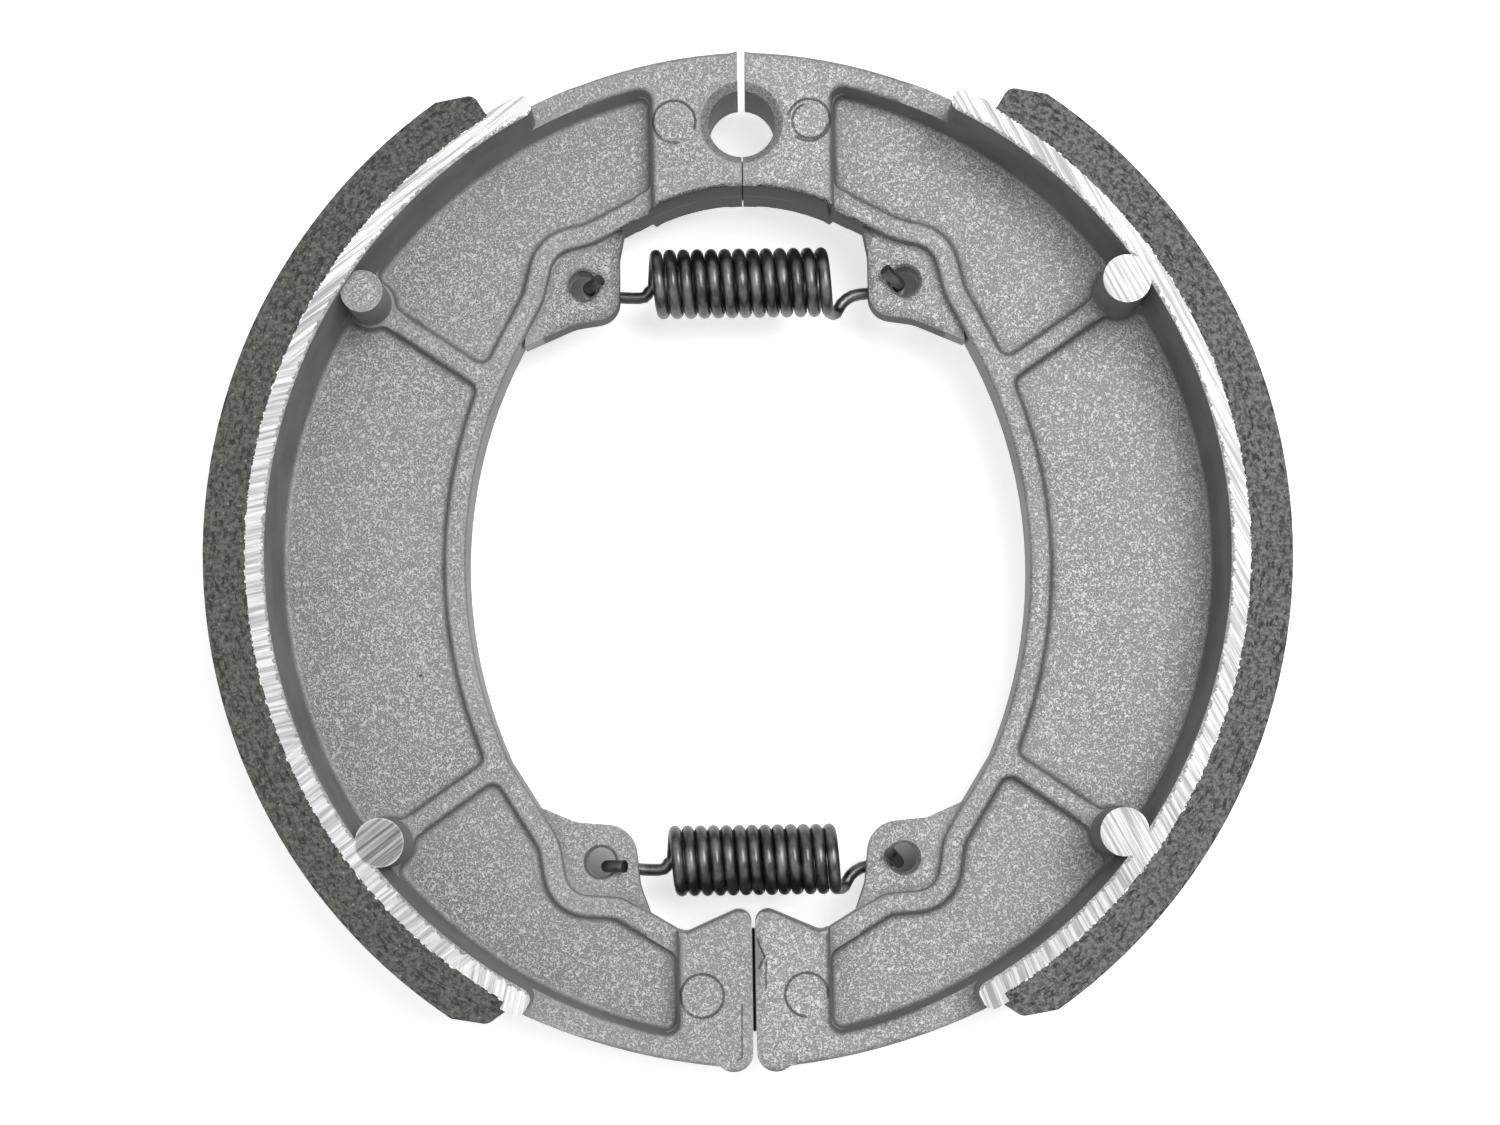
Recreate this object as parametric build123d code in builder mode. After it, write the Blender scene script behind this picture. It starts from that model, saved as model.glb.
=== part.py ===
from build123d import *
import os
from math import asin, cos, degrees, pi, radians, sin, sqrt, tan

# A pair of drum brake shoes: two mirrored die-cast shoes with bonded linings, pulled together by two springs.
# X runs across the shoes, Y towards the anchor end and Z along the drum axis, which is at X = Y = 0.
# The shoes lie on the rear edges of their rims at Z = 0. Lengths are in millimetres, angles in degrees.

# Drum, lining and rim
drum_radius = 55.0
shoe_width = 25.0
shoe_closing = 1.43
lining_thickness = 4.2
lining_end_anchor = 58.4
lining_end_cam = 59.6
lining_side_inset = 0.2
lining_bevel_angle = 3.8
lining_bevel_depth = 1.5
lining_corner_radius = 1.1
rim_thickness = 1.85
band_end_anchor = 63.3
band_end_cam = 62.1
band_step_anchor = 0.4
band_step_cam = 0.9
band_end_rounding = 1.0
ramp_radius = 5.0

# Heights above and below the middle plane
block_half = 5.6
rib_half = 3.3
web_half = 1.9

# Casting details
draft = 7.0
rib_width = 2.1
pocket_corner = 1.0

# Radial ribs with their posts
radial_rib_width = 2.0
anchor_rib_angle = 34.2
cam_rib_angle = 35.0
post_radius = 2.4
post_inset = 1.7
cast_post_radius = 2.1
cast_post_drop = 0.9
anchor_post_angle = 33.6
cam_post_angle = 36.9

# Anchor block, split at the bore
bore_radius = 3.4
bore_chamfer = 0.8
bore_from_end = 7.3
anchor_half_width = 9.05
anchor_gap = 0.7
seam_gap = 0.12
arch_radius = 21.2
arch_below_bore = 6.5

# Cam pad
pad_height = 15.4
cam_end_clearance = 3.7
pad_half_width = 7.4
pad_gap = 0.4
nose_radius = 1.3
lobe_radius = 1.9
lobe_proud = 0.25

# Inner edge of the shoe between the lugs
inner_arc_radius = 48.1
inner_arc_reach = 28.5
inner_arc_offset = -0.8
anchor_lug_run = 6.25
cam_lug_run = 10.3

# Spring lugs and their hook holes
hook_hole_radius = 1.5
anchor_hole_x = 16.45
anchor_hole_from_bore = 15.85
cam_hole_x = 15.25
cam_hole_from_end = 20.65

# Springs
wire_diameter = 1.27
wire_sides = 6
coil_diameter = 7.25
coil_turns = 12.75
coil_steps = 16
anchor_coil_pitch = 1.41
anchor_coil_shift = -0.4
anchor_coil_rise = 0.3
cam_coil_pitch = 1.3
cam_coil_shift = 0.15
cam_coil_rise = 0.0
hook_set_in = 0.6
hook_drop = 0.4
hook_bend = 1.0
hook_run = 1.6
hook_lean = 50.0
hook_tip = 1.3
hook_steps = 18

middle = shoe_width / 2
lining_seat = drum_radius - lining_thickness
rim_inner = lining_seat - rim_thickness
anchor_end_radius = lining_seat + band_step_anchor
anchor_end_y = sqrt(anchor_end_radius**2 - shoe_closing**2)
cam_reach = drum_radius - cam_end_clearance
cam_end_y = -cam_reach
bore_y = anchor_end_y - bore_from_end
anchor_hole = Vector(anchor_hole_x, bore_y - anchor_hole_from_bore)
cam_hole = Vector(cam_hole_x, cam_end_y + cam_hole_from_end)
wire_radius = wire_diameter / 2
coil_radius = (coil_diameter - wire_diameter) / 2
arc_centre = Vector(-shoe_closing, 0)
far = 2 * drum_radius
arch_centre_y = bore_y - arch_below_bore - arch_radius
wall_lean = (block_half - web_half) * tan(radians(draft))
ramp_overlap = 2 * band_end_rounding / rim_inner / radians(1)
ramp_span = 2 * ramp_radius / rim_inner / radians(1)
rib_lean = (rib_half - web_half) * tan(radians(draft))
bowl_lean = wall_lean - rib_lean


def around(centre, radius, angle):
    return Vector(centre.X + radius * cos(radians(angle)), centre.Y + radius * sin(radians(angle)))


# The flatter curve over the cam end runs level at its lowest point and meets the drum side at the end of the rim
cam_side_radius = lining_seat + band_step_cam
cam_tip = Vector(-2 * shoe_closing, cam_end_y)
cam_rise = around(arc_centre, cam_side_radius, -band_end_cam) - cam_tip
cam_end_radius = cam_rise.length**2 / (2 * cam_rise.Y)

# The outer outline at lip height: the drum side, and the flatter curve over the cam end
with BuildSketch() as outer_plan:
    with Locations(arc_centre):
        Circle(anchor_end_radius)
    Rectangle(far, far, align=(Align.MIN, Align.MIN), mode=Mode.INTERSECT)
with BuildSketch() as cam_end_plan:
    with Locations(arc_centre):
        Circle(cam_side_radius)
    with Locations(cam_tip + Vector(0, cam_end_radius)):
        Circle(cam_end_radius, mode=Mode.INTERSECT)
    Rectangle(far, far, align=(Align.MIN, Align.MAX), mode=Mode.INTERSECT)

# The open space inside the ribs, from the arch at the anchor end round both lugs to the nose of the cam pad
inner_arc_centre = Vector(inner_arc_reach - inner_arc_radius, inner_arc_offset)
arch_centre = Vector(0, arch_centre_y)
arch_side = Vector(anchor_half_width, arch_centre_y + sqrt(arch_radius**2 - anchor_half_width**2))
arch_start = Vector(-1, arch_centre_y + sqrt(arch_radius**2 - 1))
inner_arc_anchor_end = asin((anchor_hole.Y - anchor_lug_run - inner_arc_offset) / inner_arc_radius)
inner_arc_cam_end = asin((cam_hole.Y + cam_lug_run - inner_arc_offset) / inner_arc_radius)
arc_top = around(inner_arc_centre, inner_arc_radius, degrees(inner_arc_anchor_end))
arc_bottom = around(inner_arc_centre, inner_arc_radius, degrees(inner_arc_cam_end))
pad_corner = Vector(pad_half_width - 0.4, cam_end_y + pad_height - 2)
pad_top = Vector(-1, cam_end_y + pad_height + 1.5)
with BuildSketch() as inner_space:
    with BuildLine():
        ThreePointArc(arch_start, arch_centre + Vector(0, arch_radius), arch_side)
        FilletPolyline(
            arch_side,
            anchor_hole + Vector(-1.25, 4.15),
            anchor_hole + Vector(2.8, 3.15),
            anchor_hole + Vector(3.98, -1.68),
            arc_top,
            radius=[7.0, 2.6, 5.0],
        )
        ThreePointArc(arc_top, Vector(inner_arc_reach, inner_arc_offset), arc_bottom)
        FilletPolyline(
            arc_bottom,
            cam_hole + Vector(4.05, 2.15),
            cam_hole + Vector(3.2, -3.15),
            cam_hole + Vector(-2.05, -3.5),
            pad_corner,
            pad_top,
            radius=[5.0, 2.4, 3.0, 1.2],
        )
        Line(pad_top, arch_start)
    make_face()

# The lugs, thin like the web, with their roots inside the ribs
with BuildSketch() as lugs:
    with BuildLine():
        FilletPolyline(
            anchor_hole + Vector(-4.2, 5.6),
            anchor_hole + Vector(-3.7, 3.0),
            anchor_hole + Vector(-3.7, -3.3),
            anchor_hole + Vector(0.9, -4.0),
            anchor_hole + Vector(6.0, -6.2),
            radius=[3.0, 2.4, 4.0],
        )
        Polyline(
            anchor_hole + Vector(6.0, -6.2),
            anchor_hole + Vector(5.0, 3.0),
            anchor_hole + Vector(-4.2, 5.6),
        )
    make_face()
    with BuildLine():
        FilletPolyline(
            cam_hole + Vector(6.4, 5.7),
            cam_hole + Vector(2.6, 4.05),
            cam_hole + Vector(-3.3, 3.55),
            cam_hole + Vector(-3.9, -2.4),
            cam_hole + Vector(-4.9, -5.2),
            radius=[3.0, 3.2, 4.0],
        )
        Polyline(
            cam_hole + Vector(-4.9, -5.2),
            cam_hole + Vector(4.0, -4.5),
            cam_hole + Vector(6.4, 5.7),
        )
    make_face()
    with Locations(anchor_hole, cam_hole):
        Circle(hook_hole_radius, mode=Mode.SUBTRACT)

# The casting seen from the front: a half ring with a seat for the lining, split along X = 0
with BuildSketch() as casting_plan:
    add(outer_plan.sketch)
    add(cam_end_plan.sketch)
    add(inner_space.sketch, mode=Mode.SUBTRACT)
    with Locations((0, bore_y)):
        Rectangle(anchor_gap, far, align=(Align.CENTER, Align.MIN), mode=Mode.SUBTRACT)
        Rectangle(seam_gap, far, align=(Align.CENTER, Align.MAX), mode=Mode.SUBTRACT)
        Circle(bore_radius, mode=Mode.SUBTRACT)
    Rectangle(pad_gap, far, align=(Align.CENTER, Align.MAX), mode=Mode.SUBTRACT)
    lobe = Vector(pad_gap / 2 + lobe_radius, cam_end_y - lobe_proud + lobe_radius)
    with Locations(lobe):
        Rectangle(far, far, align=(Align.MAX, Align.MAX), mode=Mode.SUBTRACT)
        Circle(lobe_radius)
    nose = casting_plan.vertices().sort_by_distance((pad_gap / 2, pad_top.Y))[0]
    fillet(nose, nose_radius)


def ring_sector(inner, outer, start, end):
    with BuildSketch() as sector:
        with Locations(arc_centre):
            Circle(outer)
            Circle(inner, mode=Mode.SUBTRACT)
        with BuildLine():
            Polyline(
                around(arc_centre, far, start),
                arc_centre,
                around(arc_centre, far, end),
                around(arc_centre, 2 * far, (start + end) / 2),
                close=True,
            )
        make_face(mode=Mode.INTERSECT)
    return sector.sketch


# The floors of the three pockets: all that lies inside the rim and outside the ribs, the block and the pad
def pocket_floors():
    rib_foot = offset(inner_space.sketch, rib_width + rib_lean)
    with BuildSketch() as floors:
        with Locations(arc_centre):
            Circle(rim_inner - wall_lean)
        Rectangle(far, far, align=(Align.MAX, Align.CENTER), mode=Mode.SUBTRACT)
        add(rib_foot, mode=Mode.SUBTRACT)
        Rectangle(2 * (anchor_half_width + wall_lean), far, align=(Align.CENTER, Align.MIN), mode=Mode.SUBTRACT)
        Rectangle(2 * (pad_half_width + wall_lean), far, align=(Align.CENTER, Align.MAX), mode=Mode.SUBTRACT)
        for post_angle, rib_angle in ((anchor_post_angle, anchor_rib_angle), (-cam_post_angle, -cam_rib_angle)):
            post = around(arc_centre, rim_inner - post_inset, post_angle)
            with Locations(Location((post.X, post.Y, 0), (0, 0, rib_angle))):
                Rectangle(far, radial_rib_width + 2 * rib_lean, mode=Mode.SUBTRACT)
            with Locations(post):
                Circle(post_radius + rib_lean, mode=Mode.SUBTRACT)
        offset(amount=-pocket_corner)
        offset(amount=pocket_corner)
    return floors.sketch


# The hollow over the ribs, whose floor is level with their tops
def bowl_floor():
    with BuildSketch() as bowl:
        with Locations(arc_centre):
            Circle(rim_inner - bowl_lean)
        Rectangle(far, far, align=(Align.MAX, Align.CENTER), mode=Mode.SUBTRACT)
        Rectangle(2 * (anchor_half_width + bowl_lean), far, align=(Align.CENTER, Align.MIN), mode=Mode.SUBTRACT)
        Rectangle(2 * (pad_half_width + bowl_lean), far, align=(Align.CENTER, Align.MAX), mode=Mode.SUBTRACT)
        offset(amount=-pocket_corner)
        offset(amount=pocket_corner)
    return bowl.sketch


# What is cast away on the front half: the pockets from the ribs' tops down to the web, and the bowl over the ribs
def pocket(floor):
    with BuildPart() as space:
        with BuildSketch(Plane.XY.offset(web_half)):
            add(floor)
        extrude(amount=rib_half - web_half, taper=-draft)
    return space.part


pockets = [pocket(floor) for floor in pocket_floors().faces()]
with BuildPart() as bowl_space:
    with BuildSketch(Plane.XY.offset(rib_half)):
        add(bowl_floor())
    extrude(amount=block_half - rib_half, taper=-draft)


# The concave ramp from one end of the rim down to the lip
def ramp(angle, turn):
    edge = around(arc_centre, rim_inner, angle)
    out = (edge - arc_centre).normalized()
    along = Vector(0, 0, 1).cross(out) * turn
    start = edge - along * band_end_rounding - out * rim_thickness
    first, last = sorted((angle - turn * ramp_overlap, angle + turn * ramp_span))
    with BuildPart() as slope:
        with BuildSketch():
            add(casting_plan.sketch)
            add(ring_sector(rim_inner, far, first, last), mode=Mode.INTERSECT)
        extrude(amount=middle)
        with BuildSketch(Plane(origin=(start.X, start.Y, block_half), x_dir=along, z_dir=out)) as free:
            with Locations((far / 4, turn * far / 4)):
                Rectangle(far / 2, far / 2)
            fillet(free.vertices().sort_by_distance((start.X, start.Y, block_half))[0], ramp_radius)
        extrude(amount=4 * rim_thickness, mode=Mode.SUBTRACT)
    return slope.part


# The rim at its full width, with thicker rounded ends beyond the lining
with BuildSketch() as rim_plan:
    add(ring_sector(rim_inner, lining_seat, -band_end_cam, band_end_anchor))
    add(ring_sector(rim_inner, lining_seat + band_step_anchor, lining_end_anchor, band_end_anchor))
    add(ring_sector(rim_inner, lining_seat + band_step_cam, -band_end_cam, -lining_end_cam))
    for angle, step in ((band_end_anchor, band_step_anchor), (-band_end_cam, band_step_cam)):
        for radius in (rim_inner, lining_seat + step):
            corner = rim_plan.vertices().sort_by_distance(around(arc_centre, radius, angle))[0]
            fillet(corner, band_end_rounding)


# One casting: its front half above the middle plane, and the same mirrored behind it
def shoe(first_post_radius, first_post_drop):
    with BuildPart() as half:
        with BuildSketch():
            add(casting_plan.sketch)
            add(ring_sector(lining_seat, far, -lining_end_cam, lining_end_anchor), mode=Mode.SUBTRACT)
        extrude(amount=block_half)
        add(bowl_space.part, mode=Mode.SUBTRACT)
        for space in pockets:
            add(space, mode=Mode.SUBTRACT)
        with BuildSketch():
            add(rim_plan.sketch)
        extrude(amount=middle)
        add(ramp(band_end_anchor, 1))
        add(ramp(-band_end_cam, -1))
        with BuildSketch():
            add(lugs.sketch)
        extrude(amount=web_half)
        posts = ((anchor_post_angle, first_post_radius, first_post_drop), (-cam_post_angle, post_radius, 0))
        for angle, radius, drop in posts:
            with BuildSketch():
                with Locations(around(arc_centre, rim_inner - post_inset, angle)):
                    Circle(radius)
            extrude(amount=middle - drop)
        # The bore's chamfer, and the hook holes through the roots of the lugs
        with Locations((0, bore_y, block_half - bore_chamfer)):
            Cone(
                bore_radius,
                bore_radius + bore_chamfer,
                bore_chamfer,
                align=(Align.CENTER, Align.CENTER, Align.MIN),
                mode=Mode.SUBTRACT,
            )
        with BuildSketch():
            with Locations(anchor_hole, cam_hole):
                Circle(hook_hole_radius)
        extrude(amount=middle, mode=Mode.SUBTRACT)
    with BuildPart() as casting:
        add(half.part)
        mirror(half.part, about=Plane.XY)
    return Pos(0, 0, middle) * casting.part


# One lining: an arc whose ends are bevelled on the drum side
def lining():
    height = shoe_width - 2 * lining_side_inset
    with BuildPart() as facing:
        with BuildSketch(Plane.XY.offset(lining_side_inset)) as arc:
            add(ring_sector(lining_seat, drum_radius, -lining_end_cam, lining_end_anchor))
            for end, turn in ((lining_end_anchor, -1), (-lining_end_cam, 1)):
                with BuildLine():
                    Polyline(
                        around(arc_centre, drum_radius + 1, end),
                        around(arc_centre, drum_radius + 1, end + turn * lining_bevel_angle),
                        around(arc_centre, drum_radius, end + turn * lining_bevel_angle),
                        around(arc_centre, drum_radius - lining_bevel_depth, end),
                        close=True,
                    )
                make_face(mode=Mode.SUBTRACT)
                corner = around(arc_centre, drum_radius - lining_bevel_depth, end)
                fillet(arc.vertices().sort_by_distance(corner)[0], lining_corner_radius)
        extrude(amount=height)
    return facing.part


# One hook: from the end of the coil behind the lug, up through its hole and leaning back over its face
def hook(coil_end, coil_direction, hole, side):
    column = Vector(side * (hole.X - hook_set_in), hole.Y - hook_drop, middle - coil_radius)
    top = column + Vector(0, 0, coil_radius + web_half + hook_bend / 2)
    lean = Vector(-side * sin(radians(hook_lean)), 0.35, cos(radians(hook_lean)))
    entry = column - Vector(side * hook_run, 0, 0)
    pull = (entry - coil_end).length / 2
    with BuildLine() as line:
        Bezier(coil_end, coil_end + coil_direction * pull, entry - Vector(side, 0, 0) * pull, entry)
        FilletPolyline(entry, column, top, top + lean * (hook_tip + hook_bend / 2), radius=hook_bend)
    wire = line.wire()
    return [wire @ (k / hook_steps) for k in range(1, hook_steps + 1)]


# One spring: a close-wound coil along X with a hook at each end, bent from one wire in short straight runs
def spring(hole, pitch, shift, rise):
    start = Vector(shift - coil_turns * pitch / 2, hole.Y + rise, middle)
    turns = [k / coil_steps for k in range(round(coil_turns * coil_steps) + 1)]
    coil = [
        start + Vector(pitch * turn, coil_radius * sin(2 * pi * turn), -coil_radius * cos(2 * pi * turn))
        for turn in turns
    ]
    first_hook = hook(coil[0], (coil[0] - coil[1]).normalized(), hole, -1)
    last_hook = hook(coil[-1], (coil[-1] - coil[-2]).normalized(), hole, 1)
    points = first_hook[::-1] + coil + last_hook
    with BuildPart() as wound:
        with BuildLine() as path:
            Polyline(*points)
        with BuildSketch(Plane(origin=points[0], z_dir=points[1] - points[0])):
            RegularPolygon(wire_radius, wire_sides)
        sweep(path=path.wire(), transition=Transition.RIGHT)
    return wound.part


parts = {
    "left_shoe": mirror(shoe(cast_post_radius, cast_post_drop), about=Plane.YZ),
    "right_shoe": shoe(post_radius, 0),
    "left_lining": mirror(lining(), about=Plane.YZ),
    "right_lining": lining(),
    "upper_spring": spring(anchor_hole, anchor_coil_pitch, anchor_coil_shift, anchor_coil_rise),
    "lower_spring": spring(cam_hole, cam_coil_pitch, cam_coil_shift, cam_coil_rise),
}
os.makedirs("parts", exist_ok=True)
for name, part in parts.items():
    part.label = name
    export_step(part, f"parts/{name}.step")
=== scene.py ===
import bpy
import bmesh
from math import cos, pi, radians, sin
from mathutils import Matrix, Vector
from mathutils.kdtree import KDTree


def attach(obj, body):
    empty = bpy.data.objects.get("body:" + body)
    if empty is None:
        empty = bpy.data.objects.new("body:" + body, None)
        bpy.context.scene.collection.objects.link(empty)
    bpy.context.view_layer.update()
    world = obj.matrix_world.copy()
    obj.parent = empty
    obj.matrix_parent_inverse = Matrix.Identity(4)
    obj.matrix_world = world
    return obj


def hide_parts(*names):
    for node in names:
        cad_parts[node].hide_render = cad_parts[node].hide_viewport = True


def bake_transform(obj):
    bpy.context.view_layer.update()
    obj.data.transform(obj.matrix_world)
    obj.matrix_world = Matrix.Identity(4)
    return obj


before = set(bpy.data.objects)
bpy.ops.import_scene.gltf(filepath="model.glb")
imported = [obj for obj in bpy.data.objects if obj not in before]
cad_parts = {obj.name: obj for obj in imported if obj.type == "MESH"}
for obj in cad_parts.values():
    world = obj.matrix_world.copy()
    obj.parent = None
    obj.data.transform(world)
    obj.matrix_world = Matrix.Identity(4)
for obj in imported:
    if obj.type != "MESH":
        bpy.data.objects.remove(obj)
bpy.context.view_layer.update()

print("frame loaded")

mm = 0.001


# small node helpers: one call makes a node, sets it up and links its inputs
def feed(tree, made, values):
    for key, value in values.items():
        if isinstance(value, bpy.types.NodeSocket):
            tree.links.new(value, made.inputs[key])
        else:
            made.inputs[key].default_value = value


def node(tree, kind, inputs=None, **settings):
    made = tree.nodes.new("ShaderNode" + kind)
    for key, value in settings.items():
        setattr(made, key, value)
    feed(tree, made, inputs or {})
    return made


def calc(tree, operation, a, b=0.0, clamp=False):
    return node(tree, "Math", {0: a, 1: b}, operation=operation, use_clamp=clamp).outputs[0]


def vector(tree, operation, a, b=None):
    inputs = {0: a}
    if b is not None:
        inputs["Scale" if operation == "SCALE" else 1] = b
    made = node(tree, "VectorMath", inputs, operation=operation)
    isValue = operation in ("LENGTH", "DISTANCE", "DOT_PRODUCT")
    return made.outputs["Value" if isValue else "Vector"]


def axesOf(tree, place):
    return node(tree, "SeparateXYZ", {"Vector": place}).outputs


def flatten(tree, place):
    return vector(tree, "MULTIPLY", place, (1.0, 1.0, 0.0))


def noise(tree, place, scale, detail, rough=0.5, distortion=0.0):
    inputs = {"Vector": place, "Scale": scale, "Detail": detail, "Roughness": rough, "Distortion": distortion}
    return node(tree, "TexNoise", inputs).outputs["Fac"]


def ramp(tree, value, low, high, outLow=0.0, outHigh=1.0):
    inputs = {"Value": value, "From Min": low, "From Max": high, "To Min": outLow, "To Max": outHigh}
    return node(tree, "MapRange", inputs, interpolation_type="SMOOTHSTEP").outputs["Result"]


def mixValue(tree, factor, a, b):
    return node(tree, "Mix", {0: factor, 2: a, 3: b}).outputs[0]


def mixColour(tree, factor, a, b, blend="MIX"):
    return node(tree, "Mix", {0: factor, 6: a, 7: b}, data_type="RGBA", blend_type=blend).outputs[2]


def grey(tone):
    return (tone, tone, tone, 1.0)


def spot(place):
    return (place[0] * mm, place[1] * mm, 0.0)


def newGroup(name, inputs, outputs):
    group = bpy.data.node_groups.new(name, "ShaderNodeTree")
    for label, kind, value in inputs:
        socket = group.interface.new_socket(label, in_out="INPUT", socket_type="NodeSocket" + kind)
        if value is not None:
            socket.default_value = value
    for label, kind in outputs:
        group.interface.new_socket(label, in_out="OUTPUT", socket_type="NodeSocket" + kind)
    return group, group.nodes.new("NodeGroupInput").outputs, group.nodes.new("NodeGroupOutput").inputs


def useGroup(tree, group, **values):
    made = tree.nodes.new("ShaderNodeGroup")
    made.node_tree = group
    feed(tree, made, values)
    return made.outputs


def newMaterial(name):
    material = bpy.data.materials.new(name)
    material.use_nodes = True
    tree = material.node_tree
    tree.nodes.clear()
    shader = tree.nodes.new("ShaderNodeBsdfPrincipled")
    surface = tree.nodes.new("ShaderNodeOutputMaterial")
    tree.links.new(shader.outputs["BSDF"], surface.inputs["Surface"])
    place = node(tree, "TexCoord").outputs["Object"]
    return material, tree, shader, place


def addBump(tree, shader, height, strength, depth):
    bump = node(tree, "Bump", {"Height": height, "Strength": strength, "Distance": depth})
    tree.links.new(bump.outputs["Normal"], shader.inputs["Normal"])


grainLook = {
    "bendScale": 900.0, "bendReach": 0.0011, "curlScale": 1500.0, "curlRough": 0.55, "ridgeWidth": 0.11,
    "ridgeShare": 0.75, "fineScale": 4200.0, "fineShare": 0.35,
}


# shot-blasted skin: curling ridges with a finer grain over them
def makeBlastGrain():
    group, given, out = newGroup(
        "blastGrain",
        [("Vector", "Vector", None), ("Size", "Float", 1.0)],
        [("Height", "Float")],
    )
    place = vector(group, "SCALE", given["Vector"], given["Size"])
    bend = node(group, "TexNoise", {"Vector": place, "Scale": grainLook["bendScale"], "Detail": 1.0})
    shifted = vector(group, "SUBTRACT", bend.outputs["Color"], (0.5, 0.5, 0.5))
    warped = vector(group, "ADD", place, vector(group, "SCALE", shifted, grainLook["bendReach"]))
    curls = noise(group, warped, grainLook["curlScale"], 2.0, grainLook["curlRough"])
    middle = calc(group, "ABSOLUTE", calc(group, "SUBTRACT", curls, 0.5))
    ridge = ramp(group, middle, 0.0, grainLook["ridgeWidth"], 1.0, 0.0)
    fine = noise(group, place, grainLook["fineScale"], 2.0)
    ridgePart = calc(group, "MULTIPLY", ridge, grainLook["ridgeShare"])
    finePart = calc(group, "MULTIPLY", fine, grainLook["fineShare"])
    group.links.new(calc(group, "ADD", ridgePart, finePart), out["Height"])
    return group


grindLook = {"alongScale": 90.0, "depthScale": 30.0, "detail": 3.0, "rough": 0.65, "low": 0.33, "high": 0.67}


# straight scratches of a grinding belt, along one direction
def makeGrindLines():
    group, given, out = newGroup(
        "grindLines",
        [("Vector", "Vector", None), ("Angle", "Float", 0.0), ("Spacing", "Float", 0.0004)],
        [("Lines", "Float")],
    )
    turn = {"Vector": given["Vector"], "Angle": given["Angle"]}
    turned = node(group, "VectorRotate", turn, rotation_type="Z_AXIS").outputs[0]
    per = calc(group, "DIVIDE", 1.0, given["Spacing"])
    sides = {"X": grindLook["alongScale"], "Y": per, "Z": grindLook["depthScale"]}
    stretched = vector(group, "MULTIPLY", turned, node(group, "CombineXYZ", sides).outputs[0])
    broad = noise(group, stretched, 1.0, grindLook["detail"], grindLook["rough"])
    group.links.new(ramp(group, broad, grindLook["low"], grindLook["high"]), out["Lines"])
    return group


ringLook = {"gapEdge": 0.05, "core": 0.3}


# a thin ring round a centre in the plane of the part, as an ejector pin leaves, and the disc inside it
def makePinRing():
    group, given, out = newGroup(
        "pinRing",
        [("Vector", "Vector", None), ("Centre", "Vector", None), ("Radius", "Float", 0.002),
         ("Width", "Float", 0.0002), ("Gap", "Vector", None), ("Open", "Float", 2.0)],
        [("Ring", "Float"), ("Disc", "Float")],
    )
    spoke = vector(group, "SUBTRACT", flatten(group, given["Vector"]), given["Centre"])
    towards = vector(group, "DOT_PRODUCT", vector(group, "NORMALIZE", spoke), given["Gap"])
    edge = ringLook["gapEdge"]
    kept = ramp(group, calc(group, "SUBTRACT", towards, given["Open"]), -edge, edge, 1.0, 0.0)
    past = calc(group, "SUBTRACT", vector(group, "LENGTH", spoke), given["Radius"])
    offRing = calc(group, "DIVIDE", calc(group, "ABSOLUTE", past), given["Width"])
    ring = calc(group, "MULTIPLY", ramp(group, offRing, ringLook["core"], 1.0, 1.0, 0.0), kept)
    group.links.new(ring, out["Ring"])
    disc = ramp(group, calc(group, "DIVIDE", past, given["Width"]), -1.0, 0.0, 1.0, 0.0)
    group.links.new(disc, out["Disc"])
    return group


strokeLook = {"raggedScale": 2600.0, "core": 0.35}


# a scratch, chip or seam between two points in the plane of the part, with a ragged border
def makeStroke():
    group, given, out = newGroup(
        "strokeMark",
        [("Vector", "Vector", None), ("From", "Vector", None), ("To", "Vector", None),
         ("Width", "Float", 0.0002), ("Ragged", "Float", 0.0)],
        [("Mark", "Float")],
    )
    flat = flatten(group, given["Vector"])
    line = vector(group, "SUBTRACT", given["To"], given["From"])
    spoke = vector(group, "SUBTRACT", flat, given["From"])
    along = vector(group, "DOT_PRODUCT", spoke, line)
    share = calc(group, "DIVIDE", along, vector(group, "DOT_PRODUCT", line, line), clamp=True)
    away = vector(group, "DISTANCE", spoke, vector(group, "SCALE", line, share))
    uneven = calc(group, "SUBTRACT", noise(group, flat, strokeLook["raggedScale"], 2.0), 0.5)
    away = calc(group, "ADD", away, calc(group, "MULTIPLY", uneven, given["Ragged"]))
    mark = ramp(group, calc(group, "DIVIDE", away, given["Width"]), strokeLook["core"], 1.0, 1.0, 0.0)
    group.links.new(mark, out["Mark"])
    return group


borderLook = {"toothScale": 75.0, "detail": 3.0, "rough": 0.75, "low": 0.3, "high": 0.7}


# distance from the centre of an arc, and teeth that run across it, for the torn borders of the ground band
def makeTornBorder():
    group, given, out = newGroup(
        "tornBorder",
        [("Vector", "Vector", None), ("Centre", "Vector", None)],
        [("Radius", "Float"), ("Teeth", "Float")],
    )
    spoke = vector(group, "SUBTRACT", flatten(group, given["Vector"]), given["Centre"])
    group.links.new(vector(group, "LENGTH", spoke), out["Radius"])
    unit = vector(group, "NORMALIZE", spoke)
    coarse = noise(group, unit, borderLook["toothScale"], borderLook["detail"], borderLook["rough"])
    group.links.new(ramp(group, coarse, borderLook["low"], borderLook["high"]), out["Teeth"])
    return group


blastGrain = makeBlastGrain()
grindLines = makeGrindLines()
pinRing = makePinRing()
strokeMark = makeStroke()
tornBorder = makeTornBorder()
print("node groups made")


# a disc and a stroke in the plane of the part, their sizes in millimetres
def discMask(tree, place, centre, radius, soft):
    made = useGroup(tree, pinRing, Vector=place, Centre=spot(centre), Radius=radius * mm, Width=soft * mm)
    return made["Disc"]


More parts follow.
